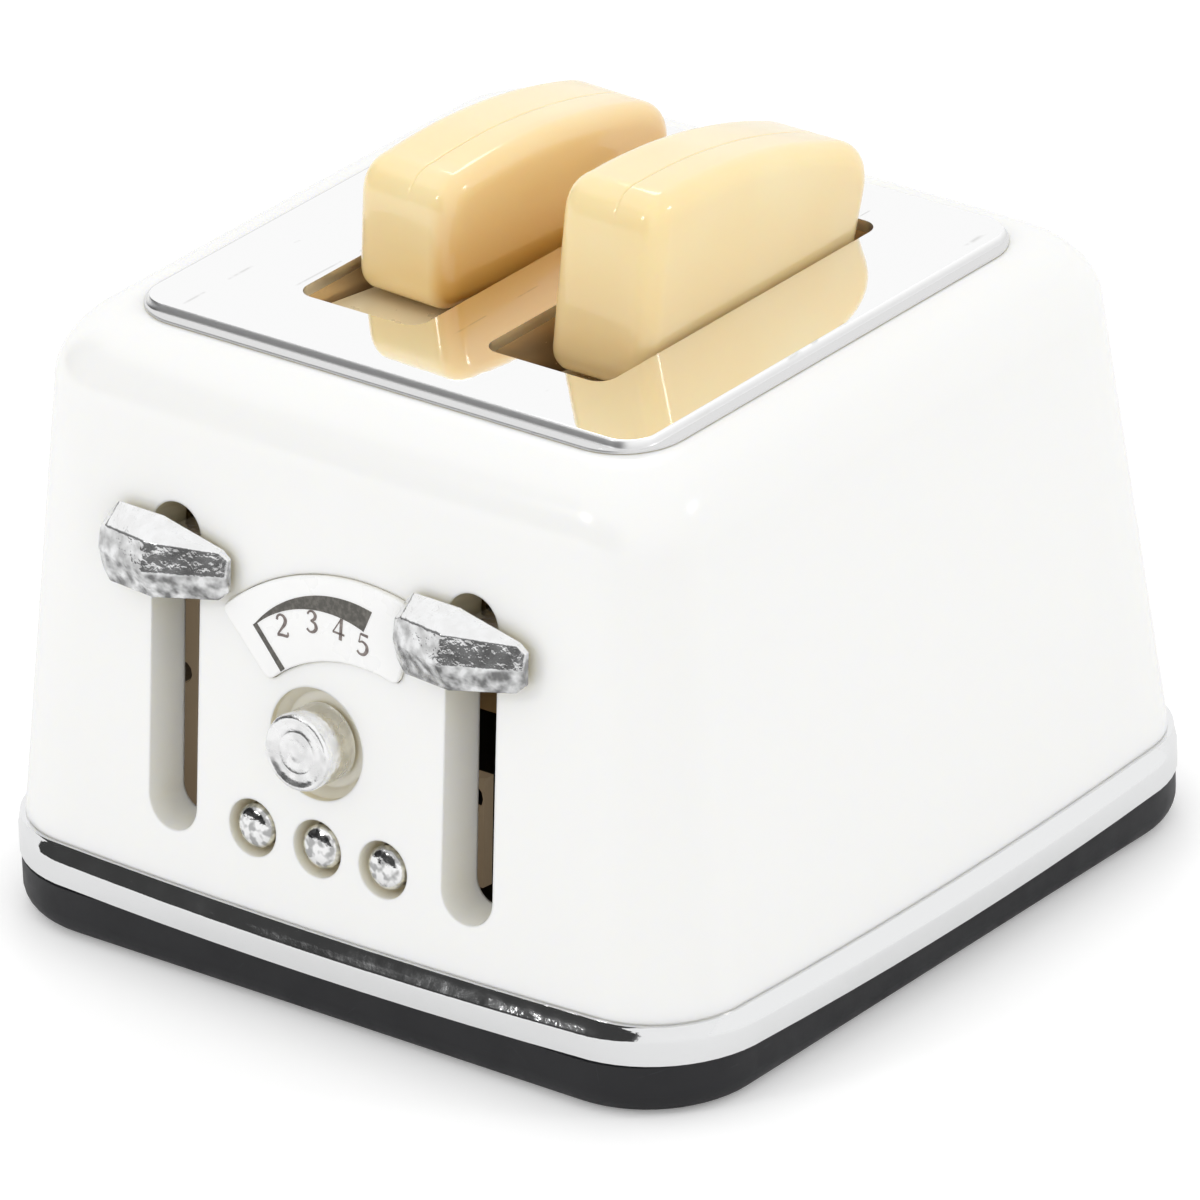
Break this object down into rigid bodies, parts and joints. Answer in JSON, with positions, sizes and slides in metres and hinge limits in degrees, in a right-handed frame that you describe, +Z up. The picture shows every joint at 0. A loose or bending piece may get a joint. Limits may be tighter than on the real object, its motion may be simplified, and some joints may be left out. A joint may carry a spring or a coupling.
{
  "type": "miniature toy toaster",
  "caption": "Dollhouse toaster with leaning toast slices in open slots, sliding levers, a turning knob, push buttons and a fan-shaped dial plate.",
  "frame": {"origin": "middle of the flat underside of the black pan", "axes": "+Z up; the front with the levers and the dial faces -Y; +X to the right seen from the front"},
  "size_m": [0.0328, 0.0324, 0.0282],
  "materials": {
    "black_pan": "satin",
    "chrome_trim": "mirror",
    "white_shell": "gloss",
    "white_dial": "satin",
    "toast_plastic": "gloss",
    "steel": "satin",
    "brass": "satin",
    "inner_plastic": "matte"
  },
  "bodies": {
    "casing": {"base_pan": "black_pan", "base_trim": "chrome_trim", "outer_shell": "white_shell", "top_plate": "chrome_trim", "base_screw_front_left": "steel", "base_screw_front_right": "steel", "base_screw_rear_left": "steel", "base_screw_rear_right": "steel", "dial_plate": "white_dial", "button_spring_left": "steel", "button_spring_middle": "steel", "button_spring_right": "steel", "button_bracket": "inner_plastic", "mechanism_frame": "inner_plastic", "bread_well_left": "chrome_trim", "bread_well_right": "chrome_trim", "guide_rod_left": "steel", "guide_rod_right": "steel", "lift_spring_left": "steel", "lift_spring_right": "steel", "frame_screw_left": "steel", "frame_screw_right": "steel"},
    "lift_left": {"lever_left": "chrome_trim", "lift_carriage_left": "brass", "bread_tray_left": "chrome_trim"},
    "lift_right": {"lever_right": "chrome_trim", "lift_carriage_right": "brass", "bread_tray_right": "chrome_trim"},
    "slice_left": {"bread_slice_left": "toast_plastic"},
    "slice_right": {"bread_slice_right": "toast_plastic"},
    "knob": {"control_knob": "chrome_trim", "knob_shaft": "steel", "knob_clip": "steel"},
    "push_left": {"button_left": "chrome_trim"},
    "push_middle": {"button_middle": "chrome_trim"},
    "push_right": {"button_right": "chrome_trim"}
  },
  "joints": [
    {"name": "lever_left_slide", "type": "slide", "parent": "casing", "child": "lift_left", "axis": [0, -0.0885, -0.9961], "range_m": [0, 0.009], "stiffness_N_per_m": 20, "springref_m": -0.005, "deforming": ["lift_spring_left"]},
    {"name": "lever_right_slide", "type": "slide", "parent": "casing", "child": "lift_right", "axis": [0, -0.0885, -0.9961], "range_m": [0, 0.009], "stiffness_N_per_m": 20, "springref_m": -0.005, "deforming": ["lift_spring_right"]},
    {"name": "slice_left_slide", "type": "slide", "parent": "lift_left", "child": "slice_left", "axis": [0, 0.0885, 0.9961], "range_m": [0, 0.015]},
    {"name": "slice_right_slide", "type": "slide", "parent": "lift_right", "child": "slice_right", "axis": [0, 0.0885, 0.9961], "range_m": [0, 0.015]},
    {"name": "knob_turn", "type": "hinge", "parent": "casing", "child": "knob", "pos_m": [-0.00028, -0.01472, 0.01034], "axis": [0, -0.9961, 0.0885], "range_deg": [-35, 35]},
    {"name": "button_left_press", "type": "slide", "parent": "casing", "child": "push_left", "axis": [0, 0.9961, -0.0885], "range_m": [0, 0.0004], "stiffness_N_per_m": 100, "springref_m": -0.0005, "deforming": ["button_spring_left"]},
    {"name": "button_middle_press", "type": "slide", "parent": "casing", "child": "push_middle", "axis": [0, 0.9961, -0.0885], "range_m": [0, 0.0004], "stiffness_N_per_m": 100, "springref_m": -0.0005, "deforming": ["button_spring_middle"]},
    {"name": "button_right_press", "type": "slide", "parent": "casing", "child": "push_right", "axis": [0, 0.9961, -0.0885], "range_m": [0, 0.0004], "stiffness_N_per_m": 100, "springref_m": -0.0005, "deforming": ["button_spring_right"]}
  ]
}
